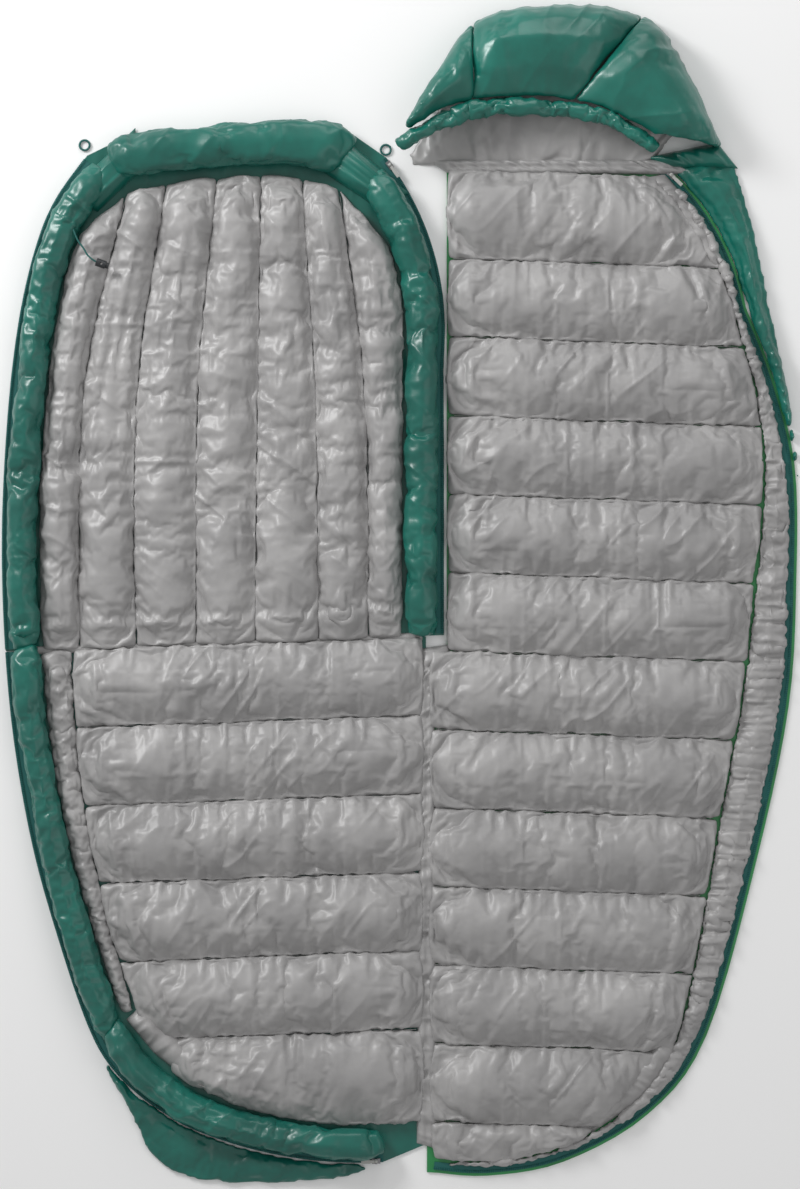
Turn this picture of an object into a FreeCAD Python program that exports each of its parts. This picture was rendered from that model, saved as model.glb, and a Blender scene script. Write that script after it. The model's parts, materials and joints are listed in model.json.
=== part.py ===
import FreeCAD, Part
import math
import os
from FreeCAD import Vector

# An insulated mummy quilt, unzipped all round and opened flat with its liner up. The hood points to +Y,
# the front half lies at -X, the back half at +X, and the ground is z = 0. All sizes are millimetres.

# Overall sizes
backLength = 1735.0        # side seam level of the neck seam down to the foot end of the back half
backWidth = 642.0          # side seam to the widest place of the zip edge, on the back half
frontWidth = 736.0         # side seam to the widest place of the zip edge, on the front half
sideSeamX = 43.2           # x of the seam that joins the two halves below the vent zip
footLevel = -990.9         # y of the foot end, at the side seam

# Down chambers
chamberPitch = 137.0       # seam to seam, along the quilt
neckChamberLength = 156.0  # the first chamber of the back, below the neck seam
backRows = 13              # chambers of the back, neck to foot
frontRows = 6              # cross chambers of the front, below the chest
chestColumns = 7           # upright chambers of the chest
seamTilt = math.tan(math.radians(2.1))  # every cross seam drops this much towards its outer end
chamberLoft = 41.0         # crown height of a chamber above its underside
seamHeight = 9.0           # height of a chamber at its seams
endHeight = 12.0           # height of a chamber where it closes at its two ends
endRun = 42.0              # length over which a chamber closes at an end
seamGap = 2.2              # free width between two chambers
wallThickness = 0.5        # baffle wall

# Shell, tubes and facings
shellThickness = 2.4
layerGap = 0.5             # air between two stacked layers
pieceGap = 1.5             # air between two pieces that lie side by side
facingGap = 3.0            # air between the chamber ends and the ruched facing
tubeWidth = 62.0           # draft tube, lying flat
tubeHeight = 44.0
collarHeight = 46.0
facingHeight = 14.0
footBoxHeight = 11.5
sideStripTop = 52.0        # plain strip beside the side tube, at the chest seam
sideStripLow = 16.0        # and at the foot
shellMargin = 8.0          # shell that shows outside the zip

# Zips
tapeInside = 11.0          # tape on the fabric side of the coil
tapeOutside = 3.0
tapeThickness = 1.2
zipTopGap = 14.0           # the back's zip starts this far below the neck seam
coilWidth = 4.0
coilHeight = 2.8
sliderClear = 0.5          # air between a slider and its coil
sliderLength = 15.0
sliderWall = 1.8
pullLength = 26.0
pullWidth = 6.0
pullThickness = 1.6
pinRadius = 1.0            # cross pin under the slider's bridge
pinClear = 0.35

# Hood
hoodRise = 88.0            # top of the hood above the ground
hoodRoof = 24.0            # thickness of the hood's down
hoodFloorHeight = 12.0
rimWidth = 30.0
rimHeight = 26.0

# Cord, cord lock and loops
cordDiameter = 3.0
lockRadius = 7.0
lockLength = 17.0
lockBore = 4.6
plungerTravel = 4.0
plungerClear = 0.3
springWire = 0.7
loopInner = 7.0
loopOuter = 10.5
loopThickness = 4.0

# Levels that follow from the layers
chamberBase = shellThickness + layerGap
chamberTop = chamberBase + chamberLoft
neckLevel = footLevel + backLength
chestLevel = neckLevel - neckChamberLength - 5 * chamberPitch + 24.0
ventX = sideSeamX + 37.0   # the front half folds about this line, just outside the vent zip
backTopX = ventX + 3.5     # inner end of the back chambers beside the vent zip
sliderHalfWidth = coilWidth / 2 + sliderClear + sliderWall


def smoothPath(points, perSpan=5):
    """Points on a smooth curve through the given plan points."""
    ends = [points[0]] + points + [points[-1]]
    path = []
    for index in range(len(points) - 1):
        before, start, end, after = ends[index:index + 4]
        for step in range(perSpan):
            t = step / perSpan
            path.append(tuple(
                0.5 * (2 * b + (c - a) * t + (2 * a - 5 * b + 4 * c - d) * t ** 2 + (3 * b - a - 3 * c + d) * t ** 3)
                for a, b, c, d in zip(before, start, end, after)))
    path.append(points[-1])
    return path


def circleThrough(a, b, c):
    """Centre of the plan circle through three points."""
    d = 2 * (a[0] * (b[1] - c[1]) + b[0] * (c[1] - a[1]) + c[0] * (a[1] - b[1]))
    squares = [p[0] ** 2 + p[1] ** 2 for p in (a, b, c)]
    x = (squares[0] * (b[1] - c[1]) + squares[1] * (c[1] - a[1]) + squares[2] * (a[1] - b[1])) / d
    y = (squares[0] * (c[0] - b[0]) + squares[1] * (a[0] - c[0]) + squares[2] * (b[0] - a[0])) / d
    return x, y


def arcPath(centre, start, end, step=16.0):
    """Points on a plan arc from start to end, the short way round, no further apart than step."""
    radius = math.dist(centre, start)
    first = math.atan2(start[1] - centre[1], start[0] - centre[0])
    turn = math.remainder(math.atan2(end[1] - centre[1], end[0] - centre[0]) - first, 2 * math.pi)
    count = max(2, math.ceil(abs(turn) * radius / step))
    return [(centre[0] + radius * math.cos(first + turn * i / count),
             centre[1] + radius * math.sin(first + turn * i / count)) for i in range(count + 1)]


def lengths(path):
    total = [0.0]
    for a, b in zip(path, path[1:]):
        total.append(total[-1] + math.dist(a, b))
    return total


def along(path, distance):
    """The point of a path at a distance from its start."""
    run = lengths(path)
    distance = min(max(distance, 0.0), run[-1])
    for index in range(len(path) - 1):
        if distance <= run[index + 1]:
            t = (distance - run[index]) / (run[index + 1] - run[index])
            return tuple(a + (b - a) * t for a, b in zip(path[index], path[index + 1]))
    return path[-1]


def spread(path, fractions):
    total = lengths(path)[-1]
    return [along(path, total * fraction) for fraction in fractions]


def offset(path, distance):
    """A path moved to its left by a distance, or by one distance for each of its points."""
    distances = distance if isinstance(distance, list) else [distance] * len(path)
    moved = []
    for index, shift in enumerate(distances):
        before = path[max(index - 1, 0)]
        after = path[min(index + 1, len(path) - 1)]
        span = math.dist(before, after)
        moved.append((path[index][0] - (after[1] - before[1]) / span * shift,
                      path[index][1] + (after[0] - before[0]) / span * shift))
    return moved


def seamY(level, x):
    """A cross seam's y: it drops towards the outer edges on both halves."""
    return level - seamTilt * abs(x - sideSeamX)


def flapY(x):
    """The line that the chest folds over, straight along the chest's lower seam."""
    return chestLevel + seamTilt * (x - sideSeamX)


def meets(path, level):
    """Distance along a path to where it crosses the cross seam of a level."""
    run = lengths(path)
    for index in range(len(path) - 1):
        a = path[index][1] - seamY(level, path[index][0])
        b = path[index + 1][1] - seamY(level, path[index + 1][0])
        if a * b <= 0 and a != b:
            return run[index] + (run[index + 1] - run[index]) * a / (a - b)
    return run[-1]


def stretch(path, start, end, count=9):
    """Part of a path between two distances, as evenly spaced points."""
    return [along(path, start + (end - start) * i / (count - 1)) for i in range(count)]


def seamLine(level, xStart, xEnd):
    return [(xStart, seamY(level, xStart)), (xEnd, seamY(level, xEnd))]


lensProfile = [(0.0, 0.0), (0.22, 0.69), (0.5, 1.0), (0.78, 0.69), (1.0, 0.0)]
tubeProfile = [(0.0, 0.5), (0.12, 0.16), (0.34, 0.0), (0.66, 0.0), (0.88, 0.16), (1.0, 0.5),
               (0.85, 0.86), (0.5, 1.0), (0.15, 0.86)]


def wire(points):
    return Part.makePolygon([Vector(*p) for p in points] + [Vector(*points[0])])


def loft(sections):
    return Part.makeLoft([wire(points) for points in sections], True, True)


def prism(outline, base, height):
    face = Part.Face(wire([(x, y, base) for x, y in outline]))
    return face.extrude(Vector(0, 0, height))


def pillow(sideA, sideB, base, crown, low, ends, closed=(True, True), stations=4):
    """A padded strip between two plan paths: flat below, crowned above, low where it is closed off."""
    run = min(lengths(sideA)[-1], lengths(sideB)[-1])
    t = min(endRun / run, 0.3)
    fractions = [0.0, t] + [t + (1 - 2 * t) * i / stations for i in range(1, stations)] + [1 - t, 1.0]
    crowns = [crown] * len(fractions)
    crowns[0] = ends if closed[0] else crown
    crowns[-1] = ends if closed[1] else crown
    sections = []
    for a, b, top in zip(spread(sideA, fractions), spread(sideB, fractions), crowns):
        section = [(a[0], a[1], base)]
        for u, rise in lensProfile:
            side = min(low, top)
            section.append((a[0] + (b[0] - a[0]) * u, a[1] + (b[1] - a[1]) * u, base + side + (top - side) * rise))
        section.append((b[0], b[1], base))
        sections.append(section)
    return loft(sections)


def tube(sideA, sideB, base, height, endScale=0.72, stations=10):
    """A stuffed tube between two plan paths, round in section, drawn in a little at its ends."""
    run = min(lengths(sideA)[-1], lengths(sideB)[-1])
    t = min(0.5 * tubeWidth / run, 0.2)
    fractions = [0.0, t] + [t + (1 - 2 * t) * i / stations for i in range(1, stations)] + [1 - t, 1.0]
    sections = []
    for index, (a, b) in enumerate(zip(spread(sideA, fractions), spread(sideB, fractions))):
        scale = endScale if index in (0, len(fractions) - 1) else 1.0
        section = []
        for u, rise in tubeProfile:
            across = 0.5 + (u - 0.5) * scale
            section.append((a[0] + (b[0] - a[0]) * across, a[1] + (b[1] - a[1]) * across,
                            base + height * rise * scale))
        sections.append(section)
    return loft(sections)


# Paths of the back half. The zip edge is an arc at the shoulder, where the slider runs, then a free curve.
backScale = backWidth / 642.0
backRise = backLength / 1735.0


def backPoint(x, y):
    """A plan point of the back half, from its distance to the side seam and to the foot end."""
    return sideSeamX + x * backScale, footLevel + y * backRise


shoulderStart = backPoint(408, 1742)
shoulderMiddle = backPoint(496, 1640)
shoulderEnd = backPoint(553, 1490)
shoulderCentre = circleThrough(shoulderStart, shoulderMiddle, shoulderEnd)
shoulderArc = arcPath(shoulderCentre, shoulderStart, shoulderEnd)
backZipPath = shoulderArc[:-1] + smoothPath([
    shoulderEnd, backPoint(600, 1370), backPoint(638, 1215), backPoint(641, 1020), backPoint(628, 800),
    backPoint(572, 530), backPoint(485, 225), backPoint(385, 90), backPoint(240, 8), backPoint(110, -16),
    backPoint(14, -10)])


def facingWidth(point):
    """The ruched facing is widest at the thigh and narrow at the shoulder and the foot."""
    height = (point[1] - footLevel) / backLength
    return tapeInside + pieceGap + 6.0 + 60.0 * max(0.0, math.sin(math.pi * min(1.0, (0.86 - height) / 0.86))) ** 1.3


backFacingInner = offset(backZipPath, [-facingWidth(point) for point in backZipPath])
backFacingOuter = offset(backZipPath, -(tapeInside - 4.0))
backShellEdge = offset(backZipPath, shellMargin)
backLevels = [neckLevel, neckLevel - neckChamberLength]
backLevels += [neckLevel - neckChamberLength - chamberPitch * row for row in range(1, backRows - 1)]


def innerX(level):
    """Inner end of the back chambers: beside the vent zip above, at the side seam below."""
    return backTopX if level > chestLevel - chamberPitch / 2 else sideSeamX + 9.0


# Paths of the front half. Its zip edge ends in an arc round the foot, where the foot slider runs.
frontScale = frontWidth / 736.0


def frontPoint(x, y):
    """A plan point of the front half, from its distance to the side seam and to the foot end."""
    return sideSeamX - x * frontScale, footLevel + y * backRise


footEnd = frontPoint(70, 3)
footMiddle = frontPoint(255, 15)
footStart = frontPoint(424, 69)
footCentre = circleThrough(footStart, footMiddle, footEnd)
footArc = arcPath(footCentre, footStart, footEnd)
frontZipPath = smoothPath([
    frontPoint(588, 1756), frontPoint(662, 1640), frontPoint(712, 1430), frontPoint(735, 1120),
    frontPoint(725, 830), frontPoint(690, 590), frontPoint(640, 400), frontPoint(575, 215),
    frontPoint(510, 130), footStart])[:-1] + footArc
frontTubeOuter = offset(frontZipPath, sliderHalfWidth + pieceGap)
frontTubeInner = offset(frontZipPath, tubeWidth)
frontLevels = [chestLevel - chamberPitch * row for row in range(frontRows)]


def sideStripWidth(point):
    """The plain strip beside the side tube narrows towards the foot."""
    return sideStripTop - (sideStripTop - sideStripLow) * min(1.0, max(0.0, (chestLevel - point[1]) / 680.0))


sideStripPath = offset(frontTubeInner, [sideStripWidth(point) for point in frontTubeInner])

# Paths of the chest
ventStart = frontPoint(70, 1752)
ventMiddle = frontPoint(5, 1640)
ventEnd = (ventX - 7.5, footLevel + 1400 * backRise)
ventCentre = circleThrough(ventStart, ventMiddle, ventEnd)
ventArc = arcPath(ventCentre, ventStart, ventEnd)
ventZipPath = ventArc[:-1] + smoothPath([
    ventEnd, (ventX - 6.5, footLevel + 1250 * backRise), (ventX - 6.5, flapY(ventX) + 2.0)])
ventTubeOuter = offset(ventZipPath, -(sliderHalfWidth + pieceGap))
ventTubeInner = offset(ventZipPath, -(sliderHalfWidth + pieceGap + tubeWidth))
collarTop = smoothPath([
    frontPoint(556, 1782), frontPoint(495, 1806), frontPoint(340, 1815), frontPoint(220, 1824),
    frontPoint(150, 1814), frontPoint(112, 1795)])
collarBottom = smoothPath([
    frontPoint(530, 1712), frontPoint(420, 1722), frontPoint(300, 1731), frontPoint(220, 1730), frontPoint(170, 1716)])


def chestSeams():
    """Side paths of the upright chest chambers, left to right, each drawn from the bottom up."""
    bottoms = [602, 504, 398, 296, 185, 99]
    middles = [595, 502, 396, 291, 191, 104]
    tops = [520, 450, 362, 286, 214, 150]
    bottomY = (chestLevel - footLevel) / backRise
    topY = [1690, 1706, 1718, 1722, 1716, 1700]
    return [smoothPath([frontPoint(b, bottomY), frontPoint(m, 1340), frontPoint(t, y)], 12)
            for b, m, t, y in zip(bottoms, middles, tops, topY)]


def parts():
    nodes = {}
    nodes.update(backPanel())
    nodes.update(hood())
    nodes.update(frontPanel())
    nodes.update(chestPanel())
    nodes.update(zips())
    nodes.update(cordLock())
    return nodes


def crossChamber(level, below, outerPath, xInner, base):
    """A cross chamber between two seams, from its inner end to an outer path."""
    upper = seamLine(level, xInner, along(outerPath, meets(outerPath, level))[0])
    lower = seamLine(below, xInner, along(outerPath, meets(outerPath, below))[0])
    half = seamGap / 2
    upper = [(x, y - half) for x, y in upper]
    lower = [(x, y + half) for x, y in lower]
    return pillow(upper, lower, base, chamberLoft, seamHeight, endHeight)


def backFootChamber():
    """The last chamber of the back, whose lower side is the round foot."""
    level = backLevels[-1]
    outer = backFacingInner
    start = meets(outer, level)
    end = lengths(outer)[-1] - (innerX(level) - backZipPath[-1][0])
    upper = [(x, y - seamGap / 2) for x, y in seamLine(level, innerX(level), along(outer, start)[0] - 8.0)]
    lower = stretch(outer, end, start + 12.0)
    return pillow(upper, lower, chamberBase, chamberLoft * 0.75, seamHeight, endHeight)


def wallBetween(line):
    """A baffle wall along a seam, inset from the ends of the seam."""
    a, b = spread(line, [0.02, 0.98])
    return prism([(a[0], a[1] - wallThickness / 2), (b[0], b[1] - wallThickness / 2),
                  (b[0], b[1] + wallThickness / 2), (a[0], a[1] + wallThickness / 2)], chamberBase, seamHeight)


def backPanel():
    nodes = {}
    walls = []
    for row in range(backRows - 1):
        level, below = backLevels[row], backLevels[row + 1]
        xInner = innerX((level + below) / 2)
        nodes[f"back_chamber_{row + 1:02d}"] = crossChamber(level, below, backFacingInner, xInner, chamberBase)
        outerX = along(backFacingInner, meets(backFacingInner, below))[0]
        walls.append(wallBetween(seamLine(below, max(xInner, innerX(below - 1)), outerX)))
    nodes[f"back_chamber_{backRows:02d}"] = backFootChamber()
    nodes["back_baffle_walls"] = Part.makeCompound(walls)
    nodes["back_shell"] = backShell()
    nodes["zip_facing_strip"] = facingStrip()
    nodes["hood_side_flap"] = sideFlap()
    return nodes


def backShell():
    """The outer shell of the back, one flat layer under everything, with the zip edge showing its colour."""
    step = chestLevel - chamberPitch * 0.25
    outline = [(backTopX - 2.0, neckLevel), (backTopX - 2.0, step), (sideSeamX + 4.0, step - 14.0),
               (sideSeamX + 4.0, backShellEdge[-1][1])]
    outline += list(reversed(backShellEdge[1:-1]))
    return prism(outline, 0.0, shellThickness)


def facingStrip():
    """The ruched strip between the chamber ends and the zip tape."""
    start, end = 40.0, lengths(backZipPath)[-1] - 30.0
    ratio = lengths(backFacingInner)[-1] / lengths(backZipPath)[-1]
    inner = stretch(offset(backFacingInner, facingGap), start * ratio, end * ratio, 33)
    outer = stretch(backFacingOuter, start, end, 33)
    return pillow(inner, outer, chamberBase + tapeThickness + layerGap, facingHeight, 3.0, 4.0, stations=28)


def sideFlap():
    """The shoulder of the shell that stands outside the zip, from the hood down to the hip."""
    inner = stretch(offset(backZipPath, shellMargin + pieceGap), 4.0, 610.0, 12)
    outer = spread(smoothPath([backPoint(540, 1740), backPoint(572, 1630), backPoint(601, 1490),
                               backPoint(629, 1352), backPoint(652, 1195)]), [i / 11 for i in range(12)])
    return pillow(inner, outer, 0.0, 30.0, 6.0, 8.0, stations=9)


# The hood: a floor of liner, three arched down panels over the head space, and a ruched rim.
hoodBase = neckLevel + 5.0
hoodOutline = smoothPath([
    (sideSeamX - 52.0, hoodBase + 36.0), (sideSeamX + 8.0, hoodBase + 128.0), (sideSeamX + 66.0, hoodBase + 228.0),
    (sideSeamX + 128.0, hoodBase + 266.0), (sideSeamX + 232.0, hoodBase + 277.0),
    (sideSeamX + 335.0, hoodBase + 270.0), (sideSeamX + 406.0, hoodBase + 242.0),
    (sideSeamX + 462.0, hoodBase + 150.0), (sideSeamX + 524.0, hoodBase + 14.0)])
rimPath = smoothPath([
    (sideSeamX - 44.0, hoodBase + 30.0), (sideSeamX + 26.0, hoodBase + 72.0), (sideSeamX + 84.0, hoodBase + 92.0),
    (sideSeamX + 174.0, hoodBase + 98.0), (sideSeamX + 263.0, hoodBase + 89.0),
    (sideSeamX + 328.0, hoodBase + 72.0), (sideSeamX + 400.0, hoodBase + 26.0)])
hoodPanelEnds = [("hood_panel_left", 0.05, 0.30), ("hood_panel_crown", 0.30, 0.66), ("hood_panel_right", 0.66, 0.98)]


def hoodPanel(start, end):
    """An arched panel from the rim, over the head space, down to the outline of the hood."""
    count = 7
    seam = 0.8 / lengths(hoodOutline)[-1]
    fractions = [start + seam + (end - start - 2 * seam) * i / (count - 1) for i in range(count)]
    inner = spread(offset(rimPath, rimWidth * 0.55), fractions)
    outer = spread(hoodOutline, fractions)
    roof = hoodRise - hoodRoof
    arch = [(0.0, roof * 0.72, roof * 0.72 + 14.0), (0.3, roof * 0.92, hoodRise * 0.94), (0.6, roof * 0.86, hoodRise),
            (0.85, roof * 0.5, hoodRise * 0.78), (0.93, chamberBase, hoodRise * 0.6), (1.0, chamberBase, 16.0)]
    sections = []
    for index, (a, b) in enumerate(zip(inner, outer)):
        pinch = 0.86 if index in (0, count - 1) else 1.0
        lower = [(a[0] + (b[0] - a[0]) * u, a[1] + (b[1] - a[1]) * u, low) for u, low, high in arch]
        upper = [(a[0] + (b[0] - a[0]) * u, a[1] + (b[1] - a[1]) * u, max(high * pinch, low + 6.0))
                 for u, low, high in arch]
        sections.append(lower + upper[::-1])
    return loft(sections)


def hood():
    nodes = {name: hoodPanel(start, end) for name, start, end in hoodPanelEnds}
    roof = (hoodRise - hoodRoof) * 0.72
    nodes["hood_rim_tube"] = tube(offset(rimPath, rimWidth * 0.5 - 0.6), offset(rimPath, -rimWidth * 0.5),
                                  roof - 4.0, rimHeight, 0.7, 14)
    inset = offset(hoodOutline, -30.0)
    inset = stretch(inset, 0.0, lengths(inset)[-1] * 0.88, 24)
    floorLine = [(inset[0][0] + 6.0, hoodBase), (rimPath[-1][0] - 4.0, hoodBase)]
    nodes["hood_liner"] = pillow(floorLine, inset, 0.0, hoodFloorHeight, 5.0, 5.0, stations=10)
    return nodes


def frontPanel():
    nodes = {}
    walls = []
    for row in range(frontRows):
        level = frontLevels[row] - (1.2 if row == 0 else 0.0)
        below = frontLevels[row + 1] if row + 1 < frontRows else None
        nodes[f"front_chamber_{row + 1:02d}"] = frontChamber(level, below)
        if below:
            outerX = along(sideStripPath, meets(sideStripPath, below))[0]
            walls.append(wallBetween(seamLine(below, sideSeamX - 6.0, outerX + 6.0)))
    nodes["front_baffle_walls"] = Part.makeCompound(walls)
    nodes["front_shell"] = frontShell()
    nodes["front_facing_strip"] = frontStrip()
    nodes["left_draft_tube_lower"] = draftTube(meets(frontZipPath, chestLevel) + 1.5, footBend() - pieceGap)
    nodes["foot_draft_tube"] = draftTube(footBend() + pieceGap, lengths(frontZipPath)[-1] - 4.0)
    nodes["foot_box"] = footBox()
    return nodes


def frontChamber(level, below):
    """A cross chamber of the front, from the side seam to the side strip; the last one ends at the foot tube."""
    outer = offset(sideStripPath, facingGap)
    right = sideSeamX - 4.0
    upper = seamLine(level - seamGap / 2, right, along(outer, meets(outer, level))[0])
    if below:
        lower = seamLine(below + seamGap / 2, right, along(outer, meets(outer, below))[0])
    else:
        footSide = offset(frontTubeInner, facingGap)
        start = meets(footSide, level - chamberPitch * 0.42)
        cornerX = along(footSide, start)[0] + 6.0
        upper[1] = (cornerX, seamY(level - seamGap / 2, cornerX))
        lower = [(right, along(footSide, lengths(footSide)[-1])[1] + 4.0)]
        lower += list(reversed(stretch(footSide, start, lengths(footSide)[-1] - 30.0, 10)))
    return pillow(upper, lower, chamberBase, chamberLoft, seamHeight, endHeight)


def footBend():
    """Distance along the front's zip edge to where the side tube hands over to the foot tube."""
    return meets(frontZipPath, frontLevels[-1] - 5.0)


def draftTube(start, end):
    ratioIn = lengths(frontTubeInner)[-1] / lengths(frontZipPath)[-1]
    inner = [along(frontTubeInner, distance * ratioIn) for distance in
             [start + (end - start) * i / 12 for i in range(13)]]
    outer = stretch(frontTubeOuter, start, end, 13)
    return tube(outer, inner, chamberBase + tapeThickness + coilHeight + 0.6, tubeHeight - 4.0)


def frontShell():
    edge = offset(frontZipPath, -shellMargin * 0.25)
    start = meets(edge, chestLevel)
    outline = stretch(edge, start + 1.0, lengths(edge)[-1], 30)
    outline[0] = (outline[0][0], flapY(outline[0][0]) - 0.8)
    outline += [(sideSeamX + 2.0, outline[-1][1] + 30.0), (sideSeamX + 2.0, flapY(sideSeamX) - 0.8)]
    return prism(outline, 0.0, shellThickness)


def frontStrip():
    """The plain strip between the side tube and the ends of the cross chambers."""
    tubeStart = meets(frontTubeInner, chestLevel - 2.0)
    tubeEnd = meets(frontTubeInner, frontLevels[-1] + 50.0)
    left = stretch(offset(frontTubeInner, pieceGap), tubeStart, tubeEnd, 12)
    right = stretch(sideStripPath, meets(sideStripPath, chestLevel - 2.0),
                    meets(sideStripPath, frontLevels[-1] + 50.0), 12)
    return pillow(left, right, chamberBase, 20.0, 8.0, 8.0, stations=9)


def footBox():
    """The outer shell round the foot, outside the zip."""
    inner = stretch(offset(frontZipPath, -(sliderHalfWidth + pieceGap)), footBend() + 40.0,
                    lengths(frontZipPath)[-1] - 30.0, 12)
    outer = spread(smoothPath([frontPoint(549, 150), frontPoint(505, 75), frontPoint(470, 5), frontPoint(395, -30),
                               frontPoint(255, -35), frontPoint(150, -28), frontPoint(100, -14)]),
                   [i / 11 for i in range(12)])
    return pillow(inner, outer, 0.0, footBoxHeight + chamberBase, 6.0, 6.0, stations=9)


def chestPanel():
    nodes = {}
    walls = []
    seams = chestSeams()
    lowLevel = chestLevel + 1.2
    tubeEnd = meets(frontTubeInner, lowLevel)
    left = stretch(offset(frontTubeInner, pieceGap), tubeEnd, 122.0, 21)
    right = list(reversed(stretch(offset(ventTubeInner, -pieceGap), 128.0, lengths(ventTubeInner)[-1], 21)))
    sides = [left] + seams + [right]
    for column in range(chestColumns):
        a = offset(sides[column], -seamGap / 2)
        b = offset(sides[column + 1], seamGap / 2)
        a[0] = (a[0][0], flapY(a[0][0]) + 1.2)
        b[0] = (b[0][0], flapY(b[0][0]) + 1.2)
        nodes[f"chest_chamber_{column + 1}"] = pillow(b, a, chamberBase, chamberLoft, seamHeight, endHeight,
                                                      stations=12)
    for seam in seams:
        inner = spread(seam, [0.02 + 0.96 * i / 24 for i in range(25)])
        outline = offset(inner, wallThickness / 2) + list(reversed(offset(inner, -wallThickness / 2)))
        walls.append(prism(outline, chamberBase, seamHeight))
    nodes["chest_baffle_walls"] = Part.makeCompound(walls)
    nodes["chest_shell"] = chestShell()
    nodes["collar_tube"] = tube(collarTop, collarBottom, chamberBase, collarHeight, 0.8)
    nodes["left_draft_tube_upper"] = draftTube(6.0, meets(frontZipPath, chestLevel) - 1.5)
    nodes["right_draft_tube"] = tube(stretch(ventTubeOuter, 14.0, lengths(ventTubeOuter)[-1], 13),
                                     stretch(ventTubeInner, 14.0, lengths(ventTubeInner)[-1], 13),
                                     chamberBase, tubeHeight)
    nodes["hang_loops"] = hangLoops()
    return nodes


def chestShell():
    edge = offset(frontZipPath, -shellMargin * 0.25)
    side = stretch(edge, 0.0, meets(edge, chestLevel) - 1.0, 16)
    side[-1] = (side[-1][0], flapY(side[-1][0]) + 0.8)
    vent = stretch(offset(ventZipPath, tapeOutside), 0.0, lengths(ventZipPath)[-1], 16)
    vent[-1] = (vent[-1][0], flapY(vent[-1][0]) + 0.8)
    return prism(side + list(reversed(vent)) + list(reversed(offset(collarTop, -8.0)))[1:-1], 0.0, shellThickness)


def hangLoops():
    """A small loop at each end of the collar, to hang the quilt from."""
    left = frontZipPath[0]
    right = ventZipPath[0]
    rings = []
    for x, y in ((left[0] - 6.0, left[1] + loopOuter + 9.0), (right[0] + 2.0, right[1] + loopOuter + 5.0)):
        ring = Part.makeCylinder(loopOuter, loopThickness, Vector(x, y, 0))
        rings.append(ring.cut(Part.makeCylinder(loopInner, loopThickness + 2, Vector(x, y, -1))))
    return Part.makeCompound(rings)


def chain(path, side, skip=0.0):
    """A tape with its coil, two solids along a path. side is 1 where the fabric lies to the left."""
    path = stretch(path, skip, lengths(path)[-1] - 2.0, max(3, int(lengths(path)[-1] / 16)))
    inner = offset(path, side * tapeInside)
    outer = offset(path, -side * tapeOutside)
    tape = prism(inner + list(reversed(outer)), chamberBase, tapeThickness)
    coilBase = chamberBase + tapeThickness + 0.1
    coil = prism(offset(path, coilWidth / 2) + list(reversed(offset(path, -coilWidth / 2))), coilBase, coilHeight)
    return tape, coil


def zips():
    chestEnd = meets(frontZipPath, chestLevel)
    upper = stretch(frontZipPath, 8.0, chestEnd - 1.5, 40)
    lower = stretch(frontZipPath, chestEnd + 1.5, lengths(frontZipPath)[-1], 70)
    nodes = {
        "main_zip_chain": Part.makeCompound(chain(backZipPath, -1, zipTopGap)),
        "front_zip_chain": Part.makeCompound(chain(lower, 1)),
        "chest_zip_chains": Part.makeCompound(chain(upper, 1) + chain(ventZipPath, -1)),
    }
    for name, place in sliderPlaces().items():
        body, pull = slider()
        for part, node in ((body, "slider"), (pull, "pull")):
            part.rotate(Vector(0, 0, 0), Vector(0, 0, 1), place["angle"])
            part.translate(Vector(place["at"][0], place["at"][1], chamberBase + tapeThickness + 0.1))
            nodes[f"{name}_{node}"] = part
    return nodes


def sliderPlaces():
    """Where each slider stands, and the way its pull points along the zip, in degrees from +X."""
    places = {}
    tracks = [("main_zip", shoulderArc, shoulderCentre, zipTopGap), ("vent_zip", ventArc, ventCentre, 0.0),
              ("foot_zip", list(reversed(footArc)), footCentre, 0.0)]
    for name, path, centre, start in tracks:
        at = along(path, start + sliderLength)
        radial = math.degrees(math.atan2(at[1] - centre[1], at[0] - centre[0]))
        ahead = along(path, start + 2 * sliderLength)
        turn = math.degrees(math.atan2(ahead[1] - at[1], ahead[0] - at[0]))
        side = 90.0 if math.cos(math.radians(turn - radial - 90.0)) > 0 else -90.0
        places[name] = {"at": at, "angle": radial + side}
    return places


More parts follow.
